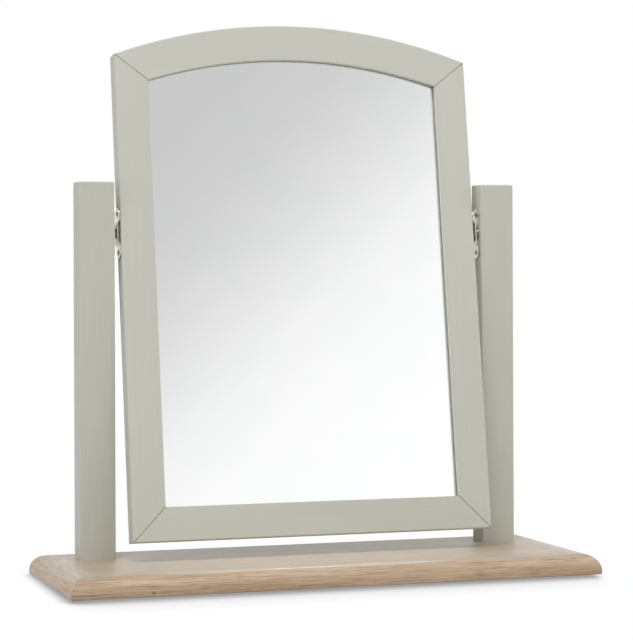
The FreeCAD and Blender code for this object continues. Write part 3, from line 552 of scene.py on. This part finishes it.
FLOOR_REACH = 9.0
SHADOW_REACH = 0.10                         # how far off the plinth still shades the floor
LEFT_SLANT, RIGHT_SLANT = 0.025, 0.31       # slopes of the lines beyond which the shadow is washed out
floor_mesh = bpy.data.meshes.new("floor")
floor_mesh.from_pydata([(-FLOOR_REACH, -FLOOR_REACH, 0), (FLOOR_REACH, -FLOOR_REACH, 0),
                        (FLOOR_REACH, FLOOR_REACH, 0), (-FLOOR_REACH, FLOOR_REACH, 0)], [], [(0, 1, 2, 3)])
floor = bpy.data.objects.new("floor", floor_mesh)
bpy.context.scene.collection.objects.link(floor)
sweep, shader, place = new_finish("white sweep", Roughness=0.9)
place.noise(30, 2.0).blend(tone(203, 203, 205), tone(206, 206, 207)).to(shader, "Base Color")
# Painted shadow: what camera, gloss and glass see of the floor glows, darkened by a ramp of the floor's
# ambient occlusion and washed out beyond the plinth's ends and behind it.
open_sky = place.node("ShaderNodeAmbientOcclusion", {"samples": 16}, {"Distance": SHADOW_REACH}, 1)
painted_shadow = open_sky.node("ShaderNodeValToRGB", {"stops": [
    (0.00, (0.35, 0.35, 0.36, 1)), (0.50, (0.37, 0.37, 0.38, 1)), (0.67, (0.45, 0.45, 0.46, 1)),
    (0.82, (0.51, 0.51, 0.52, 1)), (0.90, (0.62, 0.62, 0.63, 1)), (0.935, (0.815, 0.815, 0.815, 1)),
    (0.952, (0.95, 0.95, 0.95, 1)), (0.965, (1, 1, 1, 1))]}, {"Fac": open_sky})
across, deep, _ = place.parts()
past_left = plinth_low.x - across + LEFT_SLANT * (deep - plinth_low.y)
past_right = across - plinth_high.x + RIGHT_SLANT * (plinth_low.y - deep).most(0)
past_back = deep - plinth_high.y
washed_out = past_left.rising(-0.004, 0.018).most(past_right.rising(-0.012, 0.006)).most(
    past_back.rising(0.0, 0.04))
painted_shadow = washed_out.blend(painted_shadow, (1, 1, 1, 1))
seen, _ = seen_rays(sweep.node_tree)
glow = seen.node("ShaderNodeEmission", {}, {"Color": painted_shadow, "Strength": 1.0})
plain = Wire(sweep.node_tree, shader.outputs[0])
seen.node("ShaderNodeMixShader", {}, {0: seen, 1: plain, 2: glow}).to(
    sweep.node_tree.nodes["Material Output"], "Surface")
floor_mesh.materials.append(sweep)

surround = bpy.data.worlds.new("studio surround")
bpy.context.scene.world = surround
surround.use_nodes = True
tree = surround.node_tree
tree.nodes.clear()
way = Wire(tree, tree.nodes.new("ShaderNodeTexCoord").outputs["Generated"])
seen, gloss_sees = seen_rays(tree)
sideways, away, upward = way.parts()
# In front, where the mirror looks, grey clears to white downwards and to the right along this slope.
RIGHTWARDS, DOWNWARDS, LEVEL = 2.147, 2.387, 0.580
fall = RIGHTWARDS * sideways - DOWNWARDS * upward + LEVEL
in_mirror_grey = fall.node("ShaderNodeValToRGB", {"stops": [
    (share, (grey, grey, grey, 1)) for share, grey in (
        (0.00, 0.60), (0.29, 0.60), (0.40, 0.64), (0.455, 0.695), (0.515, 0.765), (0.575, 0.850),
        (0.635, 0.935), (0.71, 0.985), (0.85, 1.03))]}, {"Fac": fall})
grey_part = gloss_sees * (1 - away.rising(-0.55, -0.20))
# Elsewhere gloss sees the surround a little darker overhead and far to the sides.
dimmer = 0.26 * upward.rising(0.15, 0.75) + 0.12 * abs(sideways).rising(0.6, 0.95)
shown = grey_part.blend(1 - gloss_sees * dimmer, in_mirror_grey)
backdrop = way.node("ShaderNodeBackground", {}, {"Color": shown, "Strength": 1.0})
EVEN_LIGHT, MORE_IN_FRONT = 0.17, 0.04
even = way.node("ShaderNodeBackground", {},
                {"Color": (1, 1, 1, 1), "Strength": EVEN_LIGHT + MORE_IN_FRONT * (0 - away).most(0)})
surface = way.node("ShaderNodeMixShader", {}, {0: seen, 1: even, 2: backdrop})
surface.to(tree.nodes.new("ShaderNodeOutputWorld"), "Surface")


def softbox(name, place, aim, width, height, watts):
    """A large soft lamp that faces a point of the mirror."""
    lamp = bpy.data.lights.new(name, "AREA")
    lamp.shape, lamp.size, lamp.size_y, lamp.energy = "RECTANGLE", width, height, watts
    stand = bpy.data.objects.new(name, lamp)
    stand.location = place
    stand.rotation_euler = (Vector(aim) - Vector(place)).to_track_quat("-Z", "Y").to_euler()
    stand.visible_camera = False
    bpy.context.scene.collection.objects.link(stand)
    return stand


softbox("left softbox", (-1.8, -2.0, 4.8), (0.0, 0.0, 0.25), 2.0, 2.0, 142.0)
softbox("right softbox", (1.8, -2.0, 4.8), (0.0, 0.0, 0.25), 2.0, 2.0, 90.0)
softbox("left strip", (-2.4, -0.9, 0.9), (0.0, 0.0, 0.45), 0.5, 1.5, 9.0)
softbox("right strip", (2.4, -0.9, 0.7), (0.0, 0.0, 0.35), 0.5, 1.5, 8.0)
back_light = softbox("back softbox", (0.6, 3.2, 0.5), (0.0, 0.0, 0.35), 1.6, 0.8, 48.0)
back_light.visible_glossy = False

CAMERA_PLACE = (-0.7902, -2.4018, 0.3443)
CAMERA_TURN, CAMERA_ROLL = -0.3194, -0.0040     # about the upright and about the view, in radians
camera = bpy.data.objects.new("camera", bpy.data.cameras.new("camera"))
bpy.context.scene.collection.objects.link(camera)
camera.data.sensor_width = 36.0
camera.data.lens = 127.32
camera.data.shift_y = -0.0819
camera.matrix_world = (Matrix.Translation(CAMERA_PLACE) @ Matrix.Rotation(CAMERA_TURN, 4, "Z")
                       @ Matrix.Rotation(math.radians(90), 4, "X") @ Matrix.Rotation(CAMERA_ROLL, 4, "Z"))
camera.data.clip_end = 50.0
bpy.context.scene.camera = camera
bpy.context.scene.view_settings.view_transform = "Standard"
